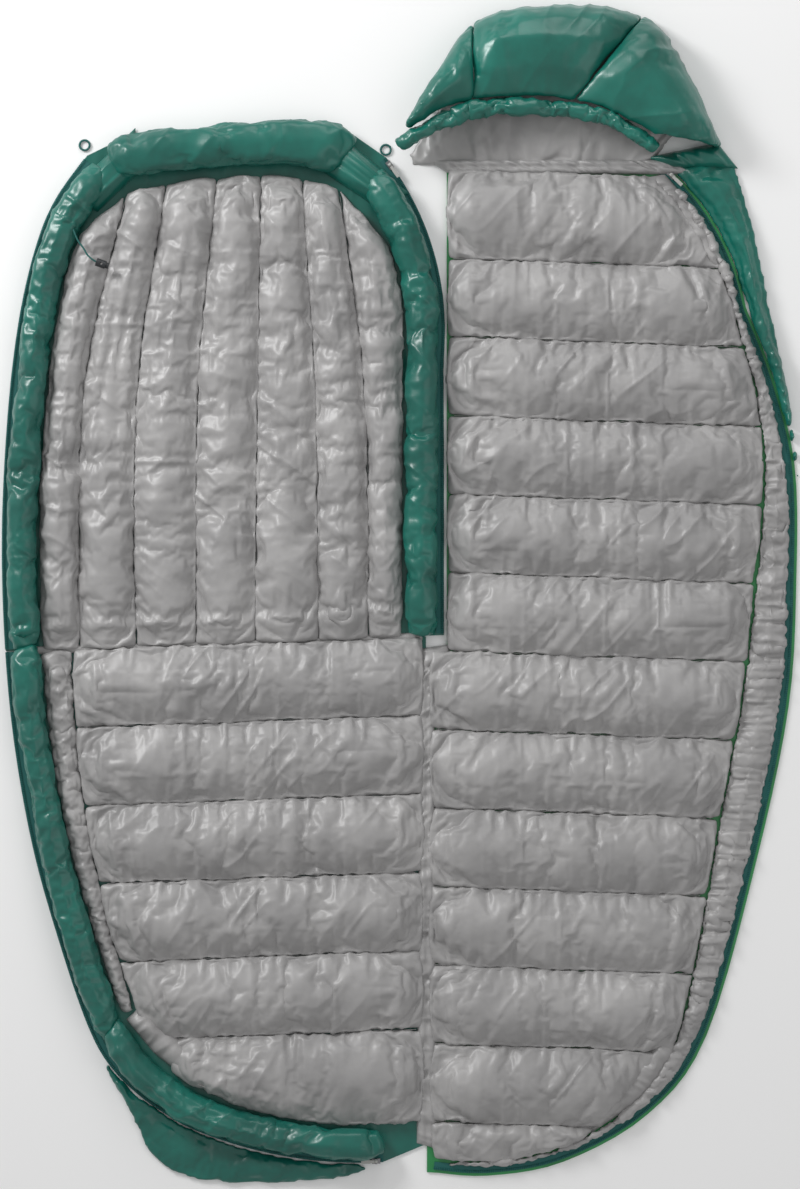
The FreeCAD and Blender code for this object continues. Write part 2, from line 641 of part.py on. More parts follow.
def slider():
    """A slider that straddles the coil, with a pin under its bridge, and the pull that hangs on the pin."""
    half = coilWidth / 2 + sliderClear
    top = coilHeight + sliderClear
    outerHalf = half + sliderWall
    legs = [Part.makeBox(sliderLength, sliderWall, top - sliderClear, Vector(-sliderLength / 2, y, sliderClear))
            for y in (-outerHalf, half)]
    plate = Part.makeBox(sliderLength, 2 * outerHalf, sliderWall, Vector(-sliderLength / 2, -outerHalf, top))
    pinLevel = top + sliderWall + pinRadius + pinClear + pullThickness + 0.4
    posts = [Part.makeBox(4.0, sliderWall * 0.8, pinLevel + pinRadius + 0.8 - top - sliderWall,
                          Vector(-2.0, y, top + sliderWall))
             for y in (-outerHalf, outerHalf - sliderWall * 0.8)]
    pin = Part.makeCylinder(pinRadius, 2 * outerHalf, Vector(0, -outerHalf, pinLevel), Vector(0, 1, 0))
    body = plate.multiFuse(legs + posts + [pin]).removeSplitter()
    eyeWidth = 2 * (outerHalf - sliderWall * 0.8) - 2 * pinClear
    eyeOuter = pinRadius + pinClear + pullThickness
    eye = Part.makeCylinder(eyeOuter, eyeWidth, Vector(0, -eyeWidth / 2, pinLevel), Vector(0, 1, 0))
    arm = Part.makeBox(pullLength, eyeWidth, pullThickness, Vector(0, -eyeWidth / 2, pinLevel - pullThickness / 2))
    tab = Part.makeBox(pullLength * 0.62, pullWidth, pullThickness,
                       Vector(pullLength * 0.38, -pullWidth / 2, pinLevel - pullThickness / 2))
    hole = Part.makeCylinder(pinRadius + pinClear, eyeWidth + 2, Vector(0, -eyeWidth / 2 - 1, pinLevel), Vector(0, 1, 0))
    pull = eye.multiFuse([arm, tab]).cut(hole).removeSplitter()
    return body, pull


# The cord lock of the neck cord lies on the chest, beside the left draft tube.
lockAt = frontPoint(569, 1567)
lockAngle = -20.0
lockLevel = chamberTop + lockRadius + 1.0


def tubePath(points, radius):
    """A round cord of straight runs and tangent arcs through plan-and-height points."""
    corners = [Vector(*p) for p in points]
    edges = []
    start = corners[0]
    for before, corner, after in zip(corners, corners[1:], corners[2:]):
        inward = (corner - before).normalize()
        outward = (after - corner).normalize()
        turn = inward.getAngle(outward)
        shorter = min((corner - before).Length, (after - corner).Length)
        bend = 0.45 * shorter / math.tan(turn / 2)
        print("cord bend radius", round(bend, 1))
        cut = bend * math.tan(turn / 2)
        arcStart, arcEnd = corner - inward * cut, corner + outward * cut
        middle = corner + (outward - inward).normalize() * (bend / math.cos(turn / 2) - bend)
        edges.append(Part.LineSegment(start, arcStart).toShape())
        edges.append(Part.Arc(arcStart, middle, arcEnd).toShape())
        start = arcEnd
    edges.append(Part.LineSegment(start, corners[-1]).toShape())
    path = Part.Wire(edges)
    circle = Part.Wire([Part.Circle(corners[0], corners[1] - corners[0], radius).toShape()])
    print("cord length", round(path.Length, 1))
    return path.makePipeShell([circle], True, False)


def cordLock():
    """Barrel, sprung plunger and spring, and the neck cord that runs from the collar's end to the lock."""
    inner = lockRadius - 1.6
    barrel = Part.makeCylinder(lockRadius, lockLength).cut(
        Part.makeCylinder(inner, lockLength - 1.6, Vector(0, 0, 1.6)))
    crossBore = Part.makeCylinder(lockBore / 2, 4 * lockRadius, Vector(-2 * lockRadius, 0, lockLength * 0.55), Vector(1, 0, 0))
    barrel = barrel.cut(crossBore)
    plungerRadius = inner - plungerClear
    plungerBase = 1.6 + 5.0
    plungerLength = lockLength - plungerBase + plungerTravel + 1.5
    plunger = Part.makeCylinder(plungerRadius, plungerLength, Vector(0, 0, plungerBase))
    plunger = plunger.cut(crossBore)
    spring = Part.makeCylinder(plungerRadius * 0.8, plungerBase - 1.6 - 0.4, Vector(0, 0, 1.8))
    spring = spring.cut(Part.makeCylinder(plungerRadius * 0.8 - springWire, plungerBase, Vector(0, 0, 1.0)))
    nodes = {"cord_lock_barrel": barrel, "cord_lock_plunger": plunger, "cord_lock_spring": spring}
    for part in nodes.values():
        part.rotate(Vector(0, 0, 0), Vector(0, 1, 0), 90)
        part.rotate(Vector(0, 0, 0), Vector(0, 0, 1), lockAngle)
        part.translate(Vector(lockAt[0], lockAt[1], lockLevel))
    x, y = lockAt
    level = lockLevel
    route = [(x - 0.8, y + 0.3, level), (x - 14.0, y + 8.0, level + 1.0), (x - 22.0, y + 24.0, level),
             (x - 34.0, y + 38.0, level - 1.0), (x - 40.0, y + 56.0, level - 2.0)]
    nodes["neck_cord"] = tubePath(route, cordDiameter / 2)
    return nodes


def main():
    os.makedirs("parts", exist_ok=True)
    for name, shape in parts().items():
        shape.exportStep(f"parts/{name}.step")


if __name__ == "__main__":
    main()
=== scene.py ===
import json
import math
import bmesh
import bpy
import numpy as np
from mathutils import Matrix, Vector


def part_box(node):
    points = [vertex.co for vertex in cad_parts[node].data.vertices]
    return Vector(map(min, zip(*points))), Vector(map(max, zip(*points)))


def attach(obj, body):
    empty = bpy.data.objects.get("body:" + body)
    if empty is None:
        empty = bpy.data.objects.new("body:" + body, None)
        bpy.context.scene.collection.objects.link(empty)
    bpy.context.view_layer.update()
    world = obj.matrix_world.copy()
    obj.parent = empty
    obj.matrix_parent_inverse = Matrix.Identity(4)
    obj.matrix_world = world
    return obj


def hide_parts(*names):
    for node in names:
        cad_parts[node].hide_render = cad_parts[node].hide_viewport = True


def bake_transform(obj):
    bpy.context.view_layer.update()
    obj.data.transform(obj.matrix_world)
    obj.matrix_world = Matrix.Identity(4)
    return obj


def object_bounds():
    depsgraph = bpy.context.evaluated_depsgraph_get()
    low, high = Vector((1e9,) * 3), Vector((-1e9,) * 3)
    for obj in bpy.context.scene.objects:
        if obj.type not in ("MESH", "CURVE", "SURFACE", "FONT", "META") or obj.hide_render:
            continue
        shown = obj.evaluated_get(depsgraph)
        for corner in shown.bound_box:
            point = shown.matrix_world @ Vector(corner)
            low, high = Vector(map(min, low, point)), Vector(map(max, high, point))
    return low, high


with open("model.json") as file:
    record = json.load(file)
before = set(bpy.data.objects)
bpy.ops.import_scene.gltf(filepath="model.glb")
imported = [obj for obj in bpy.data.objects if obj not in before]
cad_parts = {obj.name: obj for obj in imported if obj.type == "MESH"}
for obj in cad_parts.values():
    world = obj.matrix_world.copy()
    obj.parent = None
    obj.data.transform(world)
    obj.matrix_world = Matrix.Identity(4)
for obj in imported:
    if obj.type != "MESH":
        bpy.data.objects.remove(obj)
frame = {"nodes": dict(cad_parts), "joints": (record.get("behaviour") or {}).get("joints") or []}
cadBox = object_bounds()
nodes = frame["nodes"]
joints = {joint["name"]: joint for joint in frame["joints"]}
print("frame loaded:", len(nodes), "nodes")


def selectOnly(*pieces):
    bpy.ops.object.select_all(action="DESELECT")
    for piece in pieces:
        piece.select_set(True)
    bpy.context.view_layer.objects.active = pieces[-1]


def link(piece):
    bpy.context.scene.collection.objects.link(piece)
    return piece


def getPoints(mesh):
    points = np.empty(len(mesh.vertices) * 3)
    mesh.vertices.foreach_get("co", points)
    return points.reshape(-1, 3)


def setPoints(mesh, points):
    mesh.vertices.foreach_set("co", points.ravel())
    mesh.update()


def getNormals(mesh):
    normals = np.empty(len(mesh.vertices) * 3)
    mesh.vertex_normals.foreach_get("vector", normals)
    return normals.reshape(-1, 3)


def applyAll(piece):
    selectOnly(piece)
    for modifier in list(piece.modifiers):
        bpy.ops.object.modifier_apply(modifier=modifier.name)


def smoothShade(*pieces):
    selectOnly(*pieces)
    bpy.ops.object.shade_smooth()


def finishPiece(piece, body, slot, *stands):
    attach(piece, body)
    if stands:
        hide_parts(*stands)


def meshPiece(name, verts, faces):
    mesh = bpy.data.meshes.new(name)
    mesh.from_pydata([tuple(v) for v in verts], [], faces)
    mesh.update()
    return link(bpy.data.objects.new(name, mesh))


def softNoise(u, v, seed):
    # smooth value noise on a repeating grid, the same on every run
    grid = np.random.RandomState(seed).rand(128, 128)
    iu, iv = np.floor(u).astype(int), np.floor(v).astype(int)
    fu, fv = u - iu, v - iv
    fu, fv = fu * fu * (3 - 2 * fu), fv * fv * (3 - 2 * fv)
    a, b = grid[iu % 128, iv % 128], grid[(iu + 1) % 128, iv % 128]
    c, d = grid[iu % 128, (iv + 1) % 128], grid[(iu + 1) % 128, (iv + 1) % 128]
    return (a * (1 - fu) + b * fu) * (1 - fv) + (c * (1 - fu) + d * fu) * fv


def ridges(u, v, seed):
    # sharp crests and round hollows, as gathered cloth has
    return 1 - 2 * np.abs(2 * softNoise(u, v, seed) - 1)


cameraLook = {"height": 6.0, "viewLength": 2.062, "longSide": 36.0}


def makeCamera():
    data = bpy.data.cameras.new("quiltCamera")
    camera = link(bpy.data.objects.new("quiltCamera", data))
    centre = (cadBox[0] + cadBox[1]) / 2
    camera.location = (centre.x, centre.y, cameraLook["height"])  # straight down, hood up in the picture
    data.sensor_width = cameraLook["longSide"]
    data.lens = cameraLook["longSide"] * (cameraLook["height"] - centre.z) / cameraLook["viewLength"]
    bpy.context.scene.camera = camera


makeCamera()
print("camera placed")


def newMaterial(name, color, roughness, metallic=0.0):
    material = bpy.data.materials.new(name)
    material.use_nodes = True
    shader = material.node_tree.nodes["Principled BSDF"]
    shader.inputs["Base Color"].default_value = (*color, 1.0)
    shader.inputs["Roughness"].default_value = roughness
    shader.inputs["Metallic"].default_value = metallic
    return material


def addNode(material, kind, **values):
    node = material.node_tree.nodes.new(kind)
    for key, value in values.items():
        if key in node.inputs:
            node.inputs[key].default_value = value
        else:
            setattr(node, key, value)
    return node


def wire(material, source, output, target, socket):
    material.node_tree.links.new(source.outputs[output], target.inputs[socket])


def clothMaterial(name, color, dark, light, roughness, sheen, turn, stretchX, stretchY, crease, pitch=420.0):
    # a satin cloth: ripstop grid, fine creases across the seams, blotches of shade
    material = newMaterial(name, color, roughness)
    shader = material.node_tree.nodes["Principled BSDF"]
    shader.inputs["Sheen Weight"].default_value = sheen
    shader.inputs["Sheen Roughness"].default_value = 0.4
    shader.inputs["Specular IOR Level"].default_value = 0.62
    place = addNode(material, "ShaderNodeTexCoord")
    turned = addNode(material, "ShaderNodeMapping")
    turned.inputs["Rotation"].default_value = (0, 0, turn)
    turned.inputs["Scale"].default_value = (stretchX, stretchY, 1)
    creases = addNode(material, "ShaderNodeTexNoise", Scale=13.0, Detail=6.0, Roughness=0.55, Distortion=0.8)
    creases.noise_type = "RIDGED_MULTIFRACTAL"
    blotches = addNode(material, "ShaderNodeTexNoise", Scale=9.0, Detail=4.0, Roughness=0.6)
    shades = addNode(material, "ShaderNodeValToRGB")
    shades.color_ramp.elements[0].position = 0.32
    shades.color_ramp.elements[0].color = (*dark, 1)
    shades.color_ramp.elements[1].position = 0.7
    shades.color_ramp.elements[1].color = (*light, 1)
    weaveX = addNode(material, "ShaderNodeTexWave", Scale=pitch / 6, Distortion=0.0)
    weaveX.bands_direction = "X"
    weaveY = addNode(material, "ShaderNodeTexWave", Scale=pitch / 6, Distortion=0.0)
    weaveY.bands_direction = "Y"
    weave = addNode(material, "ShaderNodeMath", operation="MAXIMUM")
    weaveBump = addNode(material, "ShaderNodeBump", Strength=0.05, Distance=0.0004)
    creaseBump = addNode(material, "ShaderNodeBump", Strength=crease, Distance=0.014)
    wire(material, place, "Object", turned, "Vector")
    wire(material, turned, "Vector", creases, "Vector")
    wire(material, place, "Object", blotches, "Vector")
    wire(material, place, "Object", weaveX, "Vector")
    wire(material, place, "Object", weaveY, "Vector")
    wire(material, weaveX, "Fac", weave, 0)
    wire(material, weaveY, "Fac", weave, 1)
    wire(material, weave, 0, weaveBump, "Height")
    wire(material, creases, "Fac", creaseBump, "Height")
    wire(material, weaveBump, "Normal", creaseBump, "Normal")
    wire(material, creaseBump, "Normal", shader, "Normal")
    wire(material, blotches, "Fac", shades, "Fac")
    wire(material, shades, "Color", shader, "Base Color")
    return material


clothLook = {
    "liner": ((0.33, 0.323, 0.32), (0.27, 0.265, 0.265), (0.38, 0.373, 0.37), 0.43, 0.08),
    "shell": ((0.003, 0.115, 0.088), (0.002, 0.085, 0.066), (0.004, 0.145, 0.11), 0.34, 0.02),
    "hood": ((0.004, 0.135, 0.100), (0.003, 0.100, 0.075), (0.006, 0.165, 0.125), 0.32, 0.03),
    "under": ((0.012, 0.23, 0.06), (0.009, 0.18, 0.045), (0.02, 0.29, 0.08), 0.36, 0.03),
}


def clothSet(kind, name, turn, stretchX, stretchY, crease):
    color, dark, light, roughness, sheen = clothLook[kind]
    return clothMaterial(name, color, dark, light, roughness, sheen, turn, stretchX, stretchY, crease)


linerAcross = clothSet("liner", "linerCrossChambers", 0.5, 1.7, 0.55, 0.42)
linerUpright = clothSet("liner", "linerUprightChambers", -0.5, 0.55, 1.6, 0.38)
linerPlain = clothSet("liner", "linerFacing", 0.0, 1.0, 1.0, 0.3)
shellUpright = clothSet("shell", "shellUprightTubes", 0.35, 0.6, 1.7, 0.36)
shellAcross = clothSet("shell", "shellCrossTubes", 0.25, 1.7, 0.6, 0.36)
hoodCloth = clothSet("hood", "hoodCloth", 0.6, 1.2, 0.8, 0.24)
underCloth = clothSet("under", "underCloth", 0.0, 1.0, 1.0, 0.2)


def plasticMaterial(name, color, roughness, grain):
    material = newMaterial(name, color, roughness)
    shader = material.node_tree.nodes["Principled BSDF"]
    place = addNode(material, "ShaderNodeTexCoord")
    speckle = addNode(material, "ShaderNodeTexNoise", Scale=900.0, Detail=3.0)
    bump = addNode(material, "ShaderNodeBump", Strength=grain, Distance=0.0003)
    wear = addNode(material, "ShaderNodeTexNoise", Scale=120.0, Detail=4.0)
    worn = addNode(material, "ShaderNodeMapRange")
    worn.inputs["To Min"].default_value = roughness * 0.8
    worn.inputs["To Max"].default_value = min(1.0, roughness * 1.3)
    for node in (speckle, wear):
        wire(material, place, "Object", node, "Vector")
    wire(material, speckle, "Fac", bump, "Height")
    wire(material, bump, "Normal", shader, "Normal")
    wire(material, wear, "Fac", worn, "Value")
    wire(material, worn, "Result", shader, "Roughness")
    return material


zipTape = plasticMaterial("zipTapeNylon", (0.006, 0.11, 0.10), 0.6, 0.5)
zipCoil = plasticMaterial("zipCoilNylon", (0.008, 0.13, 0.12), 0.4, 0.2)
darkPlastic = plasticMaterial("lockPlastic", (0.02, 0.022, 0.025), 0.42, 0.3)
palePlastic = plasticMaterial("pullNylon", (0.42, 0.42, 0.40), 0.45, 0.3)
sliderMetal = newMaterial("sliderMetal", (0.28, 0.28, 0.29), 0.32, 1.0)
springMetal = newMaterial("springMetal", (0.6, 0.6, 0.61), 0.25, 1.0)
threadCloth = plasticMaterial("threadCloth", (0.01, 0.10, 0.09), 0.7, 0.5)
print("materials made")


cordLook = {"diameter": 0.003, "length": 0.070}
cordRoute = [(-0.5658, 0.6321, 0.0499), (-0.5598, 0.6141, 0.0509), (-0.5478, 0.6001, 0.0519),
             (-0.5398, 0.5841, 0.0529), (-0.5266, 0.5764, 0.0519)]


def makeNeckCord():
    curve = bpy.data.curves.new("neckCord", "CURVE")
    curve.dimensions = "3D"
    spline = curve.splines.new("NURBS")
    spline.points.add(len(cordRoute) - 1)
    for point, place in zip(spline.points, cordRoute):
        point.co = (*place, 1.0)
    spline.order_u = 3
    spline.use_endpoint_u = True
    spline.resolution_u = 12
    curve.bevel_depth = cordLook["diameter"] / 2
    curve.bevel_resolution = 3
    cord = link(bpy.data.objects.new("neckCord", curve))
    cord.data.materials.append(threadCloth)
    finishPiece(cord, "chest_panel", "cord_fabric", "neck_cord")


makeNeckCord()
print("neck cord laid")


padLook = {  # voxel and cap in metres, grow is how much larger the cloth is cut than its chamber
    "chamber": {"voxel": 0.0052, "soften": 8, "seam": 0.0105, "grow": 0.07, "pressure": 4.2, "cap": 0.014},
    "column": {"voxel": 0.0052, "soften": 8, "seam": 0.0105, "grow": 0.055, "pressure": 4.2, "cap": 0.014},
    "tube": {"voxel": 0.0052, "soften": 5, "seam": 0.006, "grow": 0.06, "pressure": 4.5, "cap": 0.010},
    "facing": {"voxel": 0.0045, "soften": 2, "seam": 0.003, "grow": 0.16, "pressure": 2.5, "cap": 0.008},
    "hood": {"voxel": 0.0048, "soften": 9, "seam": 0.004, "grow": 0.06, "pressure": 4.5, "cap": 0.005, "sideways": 0.2},
    "flat": {"voxel": 0.0056, "soften": 4, "seam": 0.005, "grow": 0.04, "pressure": 2.0, "cap": 0.006},
}
simFrames = 18
seamSwell = 0.0012


def nodeCopy(node, name):
    piece = link(bpy.data.objects.new(name, nodes[node].data.copy()))
    piece.data.materials.clear()
    selectOnly(piece)
    bpy.ops.object.mode_set(mode="EDIT")
    bpy.ops.mesh.select_all(action="SELECT")
    bpy.ops.mesh.remove_doubles(threshold=0.00002)
    bpy.ops.object.mode_set(mode="OBJECT")
    return piece


def openBottom(piece, depth):
    # the face that lies on the shell is taken out before the cloth is run
    low = getPoints(piece.data)[:, 2].min() + depth
    mesh = bmesh.new()
    mesh.from_mesh(piece.data)
    under = [face for face in mesh.faces if all(vert.co.z < low for vert in face.verts)]
    bmesh.ops.delete(mesh, geom=under, context="FACES")
    mesh.to_mesh(piece.data)
    mesh.free()


def closeBottom(piece):
    mesh = bmesh.new()
    mesh.from_mesh(piece.data)
    rim = [edge for edge in mesh.edges if edge.is_boundary]
    filled = bmesh.ops.holes_fill(mesh, edges=rim, sides=0)["faces"]
    bmesh.ops.triangulate(mesh, faces=filled)
    bmesh.ops.recalc_face_normals(mesh, faces=mesh.faces[:])
    mesh.to_mesh(piece.data)
    mesh.free()


def startPad(node, name, look, flatBelow):
    piece = nodeCopy(node, name)
    remesh = piece.modifiers.new("evenMesh", "REMESH")
    remesh.mode = "VOXEL"
    remesh.voxel_size = look["voxel"]
    soften = piece.modifiers.new("soften", "SMOOTH")
    soften.factor = 0.5
    soften.iterations = look["soften"]
    applyAll(piece)
    if flatBelow:
        openBottom(piece, 0.0012)
    return piece


def addCloth(piece, look):
    points = getPoints(piece.data)
    low = points[:, 2].min()
    held = np.nonzero(points[:, 2] < low + look["seam"])[0]
    group = piece.vertex_groups.new(name="sewn")
    group.add([int(index) for index in held], 1.0, "REPLACE")
    cloth = piece.modifiers.new("cloth", "CLOTH")
    settings = cloth.settings
    settings.quality = 5
    settings.mass = 0.05
    settings.tension_stiffness = 15
    settings.compression_stiffness = 15
    settings.shear_stiffness = 3
    settings.bending_stiffness = 0.02
    settings.tension_damping = 5
    settings.compression_damping = 5
    settings.use_pressure = True
    settings.uniform_pressure_force = look["pressure"]
    settings.effector_weights.gravity = 0
    settings.vertex_group_mass = "sewn"
    settings.shrink_min = -look["grow"]
    cloth.point_cache.frame_start = 1
    cloth.point_cache.frame_end = simFrames + 2


def settlePads(pads):
    before = {name: getPoints(piece.data) for name, (piece, look) in pads.items()}
    for piece, look in pads.values():
        addCloth(piece, look)
    for step in range(1, simFrames + 1):
        bpy.context.scene.frame_set(step)
    for name, (piece, look) in pads.items():
        applyAll(piece)
        points = getPoints(piece.data)
        moved = points - before[name]
        moved[:, :2] *= look.get("sideways", 1.0)
        far = np.linalg.norm(moved, axis=1)
        moved *= np.minimum(1.0, look["cap"] / np.maximum(far, 1e-9))[:, None]
        points = before[name] + moved
        points[:, 2] = np.maximum(points[:, 2], before[name][:, 2].min())
        setPoints(piece.data, points)
        piece.vertex_groups.clear()
    bpy.context.scene.frame_set(1)


def gather(piece, along, fine, tall, deep, seed, drop=0.024):
    # puckers that start at the sewn edges and run across them, and long shallow folds over the crown
    points, normals = getPoints(piece.data), getNormals(piece.data)
    across = (-along[1], along[0])
    s = points[:, 0] * along[0] + points[:, 1] * along[1]
    t = points[:, 0] * across[0] + points[:, 1] * across[1]
    height = points[:, 2] - points[:, 2].min()
    edge = 1 - np.clip((height - 0.008) / drop, 0, 1)
    edge = edge * edge * (3 - 2 * edge)
    lift = np.clip(height / 0.006, 0, 1) * np.clip(normals[:, 2] + 0.9, 0, 1)
    pucker = ridges(s / fine + 31, t / (fine * 4.5) + 17, seed)
    fold = ridges((s + 0.45 * t) / tall + 7, (t - 0.45 * s) / (tall * 3.6) + 3, seed + 1)
    slant = ridges((s - 0.8 * t) / (tall * 0.75) + 5, (t + 0.8 * s) / (tall * 2.6) + 9, seed + 2)
    where = np.clip(2.2 * softNoise(s / 0.16 + 3, t / 0.12 + 5, seed + 4) - 0.6, 0, 1)
    move = lift * (deep * (0.30 + 0.70 * edge) * pucker + deep * (1 - 0.4 * edge) * fold
                   + 2.2 * deep * where * (1 - 0.3 * edge) * slant ** 2)
    points = points + normals * move[:, None]
    swell = seamSwell * np.clip(1.4 - 2.2 * np.abs(normals[:, 2]), 0, 1)
    points[:, :2] += normals[:, :2] * swell[:, None]  # neighbours meet at the seam
    setPoints(piece.data, points)


def finishPad(piece, along, fine, tall, deep, seed):
    finer = piece.modifiers.new("finer", "SUBSURF")
    finer.levels = finer.render_levels = 1
    applyAll(piece)
    closeBottom(piece)
    gather(piece, along, fine, tall, deep, seed)
    smoothShade(piece)


tilt = abs(joints["chest_flap"]["axis"][1] / joints["chest_flap"]["axis"][0])
level = math.hypot(1, tilt)
backAlong, frontAlong, upAlong = (1 / level, -tilt / level), (1 / level, tilt / level), (0.0, 1.0)


def padPlan():
    plan = []  # node, piece name, kind, body, slot, material, direction of its seams, pucker, fold, depth
    for row in range(1, 14):
        plan.append((f"back_chamber_{row:02d}", f"backChamber{row:02d}", "chamber", "back_panel", "liner_fabric",
                     linerAcross, backAlong, 0.017, 0.05, 0.0019))
    for row in range(1, 7):
        plan.append((f"front_chamber_{row:02d}", f"frontChamber{row:02d}", "chamber", "front_lower", "liner_fabric",
                     linerAcross, frontAlong, 0.017, 0.05, 0.0019))
    for column in range(1, 8):
        plan.append((f"chest_chamber_{column}", f"chestChamber{column}", "column", "chest_panel", "liner_fabric",
                     linerUpright, upAlong, 0.022, 0.06, 0.0016))
    plan.append(("left_draft_tube_upper", "leftDraftTubeUpper", "tube", "chest_panel", "shell_fabric", shellUpright,
                 upAlong, 0.022, 0.07, 0.0015))
    plan.append(("left_draft_tube_lower", "leftDraftTubeLower", "tube", "front_lower", "shell_fabric", shellUpright,
                 upAlong, 0.022, 0.07, 0.0015))
    plan.append(("right_draft_tube", "rightDraftTube", "tube", "chest_panel", "shell_fabric", shellUpright, upAlong,
                 0.022, 0.07, 0.0015))
    plan.append(("foot_draft_tube", "footDraftTube", "tube", "front_lower", "shell_fabric", shellAcross, (0.94, -0.34),
                 0.018, 0.06, 0.0017))
    plan.append(("collar_tube", "collarTube", "tube", "chest_panel", "shell_fabric", shellAcross, (1.0, 0.0),
                 0.030, 0.09, 0.0018))
    plan.append(("hood_rim_tube", "hoodRimTube", "facing", "hood", "shell_fabric", hoodCloth, (1.0, 0.0), 0.012, 0.05,
                 0.0018))
    for side, along in (("left", (0.5, 0.87)), ("crown", (1.0, 0.0)), ("right", (0.6, -0.8))):
        plan.append((f"hood_panel_{side}", f"hoodPanel{side.title()}", "hood", "hood", "shell_fabric", hoodCloth, along,
                     0.024, 0.07, 0.0018))
    plan.append(("hood_liner", "hoodLiner", "flat", "hood", "liner_fabric", linerPlain, (1.0, 0.0), 0.02, 0.06, 0.0015))
    plan.append(("hood_side_flap", "hoodSideFlap", "flat", "back_panel", "shell_fabric", hoodCloth, upAlong, 0.03, 0.08,
                 0.0015))
    plan.append(("foot_box", "footBox", "flat", "front_lower", "shell_fabric", shellAcross, (0.95, -0.3), 0.03, 0.09,
                 0.0012))
    plan.append(("zip_facing_strip", "zipFacingStrip", "facing", "back_panel", "liner_fabric", linerPlain, upAlong,
                 0.012, 0.05, 0.0030))
    plan.append(("front_facing_strip", "frontFacingStrip", "facing", "front_lower", "liner_fabric", linerPlain, upAlong,
                 0.016, 0.05, 0.0014))
    return plan


def makePads():
    plan = padPlan()
    pads = {}
    for node, name, kind in (entry[:3] for entry in plan):
        flatBelow = kind in ("chamber", "column", "tube")
        pads[name] = (startPad(node, name, padLook[kind], flatBelow), padLook[kind])
    print("pads remeshed:", sum(len(piece.data.vertices) for piece, look in pads.values()), "points")
    settlePads(pads)
    print("cloth settled")
    for seed, (node, name, kind, body, slot, material, along, fine, tall, deep) in enumerate(plan):
        piece = pads[name][0]
        finishPad(piece, along, fine, tall, deep, 11 + 3 * seed)
        piece.data.materials.append(material)
        finishPiece(piece, body, slot, node)


makePads()
print("padded pieces finished")


def evenLine(line, count):
    line = np.array(line, float)
    runs = np.concatenate([[0], np.cumsum(np.linalg.norm(np.diff(line, axis=0), axis=1))])
    at = np.linspace(0, runs[-1], count)
    return np.stack([np.interp(at, runs, line[:, axis]) for axis in (0, 1)], axis=1)


def makeWeb(name, firstLine, secondLine, base, rise, material, seed, across=14, deep=0.003, dip=0.0,
            outside=None):
    # a closed, slack pillow of cloth between two lines, puckered across them
    longest = max(np.linalg.norm(np.diff(np.array(line), axis=0), axis=1).sum() for line in (firstLine, secondLine))
    count = int(longest / 0.0028) + 2
    first, second = evenLine(firstLine, count), evenLine(secondLine, count)
    share = np.linspace(0, 1, across)
    flat = first[:, None, :] * (1 - share[None, :, None]) + second[:, None, :] * share[None, :, None]
    ends = np.minimum(np.arange(count), np.arange(count)[::-1]) / 8.0
    arch = np.sqrt(np.clip(1 - (2 * share - 1) ** 2, 0, 1))[None, :] * np.sqrt(np.clip(ends, 0, 1))[:, None]
    s, t = np.arange(count)[:, None] * 0.0028 + 0 * flat[:, :, 0], share[None, :] * 0.02 + 0 * flat[:, :, 0]
    pucker = ridges(s / 0.013 + 5, t / 0.02 + 2, seed) + 0.7 * ridges(s / 0.031 + 1, t / 0.03 + 8, seed + 1)
    trough = 1 - dip * np.exp(-((share - 0.5) / 0.16) ** 2)[None, :]
    top = base + (rise * trough + deep * pucker) * arch
    top = np.maximum(top, base + 0.0004)
    verts = [(x, y, z) for (x, y), z in zip(flat.reshape(-1, 2), top.ravel())]
    verts += [(x, y, base) for x, y in flat.reshape(-1, 2)]
    half = count * across
    faces = []
    for i in range(count - 1):
        for j in range(across - 1):
            a, b, c, d = i * across + j, i * across + j + 1, (i + 1) * across + j + 1, (i + 1) * across + j
            faces += [(a, b, c, d), (half + d, half + c, half + b, half + a)]
    rim = [j for j in range(across)] + [i * across + across - 1 for i in range(1, count)]
    rim += [(count - 1) * across + j for j in range(across - 2, -1, -1)] + [i * across for i in range(count - 2, 0, -1)]
    faces += [(b, a, half + a, half + b) for a, b in zip(rim, rim[1:] + rim[:1])]
    piece = meshPiece(name, verts, faces)
    mesh = bmesh.new()
    mesh.from_mesh(piece.data)
    bmesh.ops.recalc_face_normals(mesh, faces=mesh.faces[:])
    mesh.to_mesh(piece.data)
    mesh.free()
    piece.data.materials.append(material)
    if outside:
        piece.data.materials.append(outside)
        for face in piece.data.polygons:
            face.material_index = 1 if face.normal.z < -0.5 else 0  # the shell's cloth below
    smoothShade(piece)
    return piece


webLook = {"base": 0.0027, "seamRise": 0.011, "cornerRise": 0.034}


